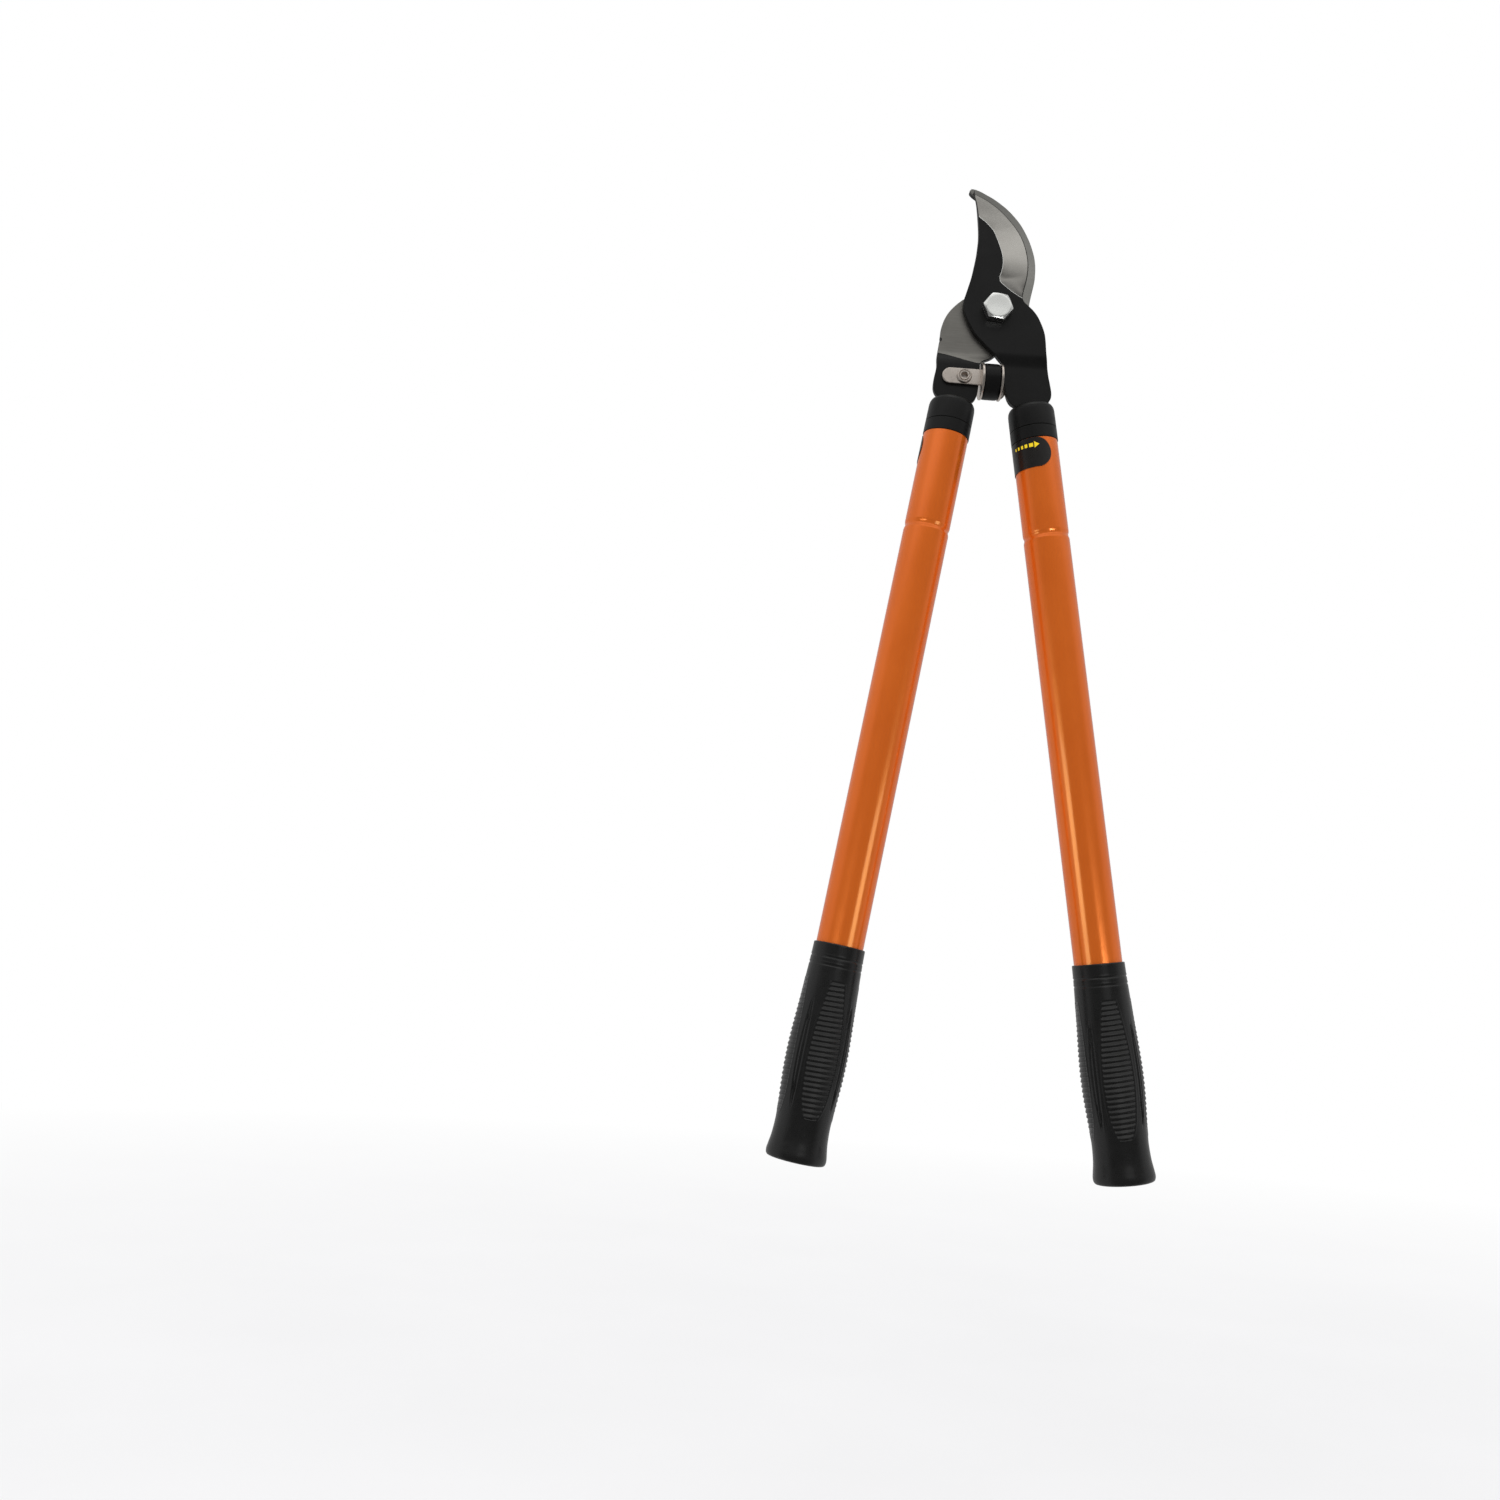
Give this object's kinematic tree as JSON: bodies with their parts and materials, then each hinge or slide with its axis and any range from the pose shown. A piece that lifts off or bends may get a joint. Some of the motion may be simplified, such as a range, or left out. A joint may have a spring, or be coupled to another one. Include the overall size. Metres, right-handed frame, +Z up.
{
  "type": "bypass loppers",
  "caption": "Long-handled bypass loppers: curved blade passing a hook, twist-lock telescopic tube handles with moulded grips and a rubber bumper.",
  "frame": {"origin": "on the pivot axis, at the centre of the pivot bolt's hexagonal head face", "axes": "+Z up along the line halving the angle between the handles, towards the blade tip; -Y out of the blade side's front; +X to the right seen from the front"},
  "size_m": [0.2558, 0.0424, 0.7027],
  "materials": {
    "coated_steel": "satin",
    "zinc_steel": "satin",
    "nickel_steel": "satin",
    "bronze": "satin",
    "bumper_rubber": "matte",
    "black_nylon": "matte",
    "white_nylon": "matte",
    "orange_paint": "gloss",
    "tube_alloy": "satin",
    "grip_rubber": "matte",
    "label_film": "gloss"
  },
  "bodies": {
    "blade_arm": {"blade_plate": "coated_steel", "pivot_bolt": "zinc_steel", "pivot_bush": "bronze", "pivot_washer": "zinc_steel", "lock_nut": "zinc_steel", "nut_insert": "white_nylon", "stop_bracket": "nickel_steel", "right_tang_collar": "black_nylon", "right_inner_tube": "tube_alloy", "right_tang_rivet": "zinc_steel", "right_expander_stud": "zinc_steel"},
    "hook_arm": {"hook_plate": "coated_steel", "bumper_bracket": "nickel_steel", "bumper_rivet": "nickel_steel", "bumper_rubber": "bumper_rubber", "left_tang_collar": "black_nylon", "left_inner_tube": "tube_alloy", "left_tang_rivet": "zinc_steel", "left_expander_stud": "zinc_steel"},
    "left_collet": {"left_expander_collet": "black_nylon"},
    "left_cone": {"left_expander_cone": "white_nylon"},
    "left_handle": {"left_guide_ring": "black_nylon", "left_outer_tube": "orange_paint", "left_grip": "grip_rubber", "left_label": "label_film"},
    "right_collet": {"right_expander_collet": "black_nylon"},
    "right_cone": {"right_expander_cone": "white_nylon"},
    "right_handle": {"right_guide_ring": "black_nylon", "right_outer_tube": "orange_paint", "right_grip": "grip_rubber", "right_label": "label_film"}
  },
  "joints": [
    {"name": "pivot_hinge", "type": "hinge", "parent": "blade_arm", "child": "hook_arm", "pos_m": [0, 0.01245, 0], "axis": [0, 1, 0], "range_deg": [0, 45]},
    {"name": "left_twist_lock", "type": "hinge", "parent": "hook_arm", "child": "left_collet", "pos_m": [-0.01712, 0.01245, 0], "axis": [-0.1497, 0, -0.9887], "range_deg": [0, 180]},
    {"name": "left_extend", "type": "slide", "parent": "left_collet", "child": "left_handle", "axis": [-0.1497, 0, -0.9887], "range_m": [0, 0.2]},
    {"name": "left_cone_travel", "type": "slide", "parent": "left_collet", "child": "left_cone", "axis": [-0.1497, 0, -0.9887], "range_m": [0, 0.001]},
    {"name": "right_twist_lock", "type": "hinge", "parent": "blade_arm", "child": "right_collet", "pos_m": [0.01712, 0.01245, 0], "axis": [0.1497, 0, -0.9887], "range_deg": [0, 180]},
    {"name": "right_extend", "type": "slide", "parent": "right_collet", "child": "right_handle", "axis": [0.1497, 0, -0.9887], "range_m": [0, 0.2]},
    {"name": "right_cone_travel", "type": "slide", "parent": "right_collet", "child": "right_cone", "axis": [0.1497, 0, -0.9887], "range_m": [0, 0.001]}
  ],
  "couplings": [
    {"joint": "left_cone_travel", "follows": "left_twist_lock", "m_per_rad": 0.00031831},
    {"joint": "right_cone_travel", "follows": "right_twist_lock", "m_per_rad": 0.00031831}
  ]
}
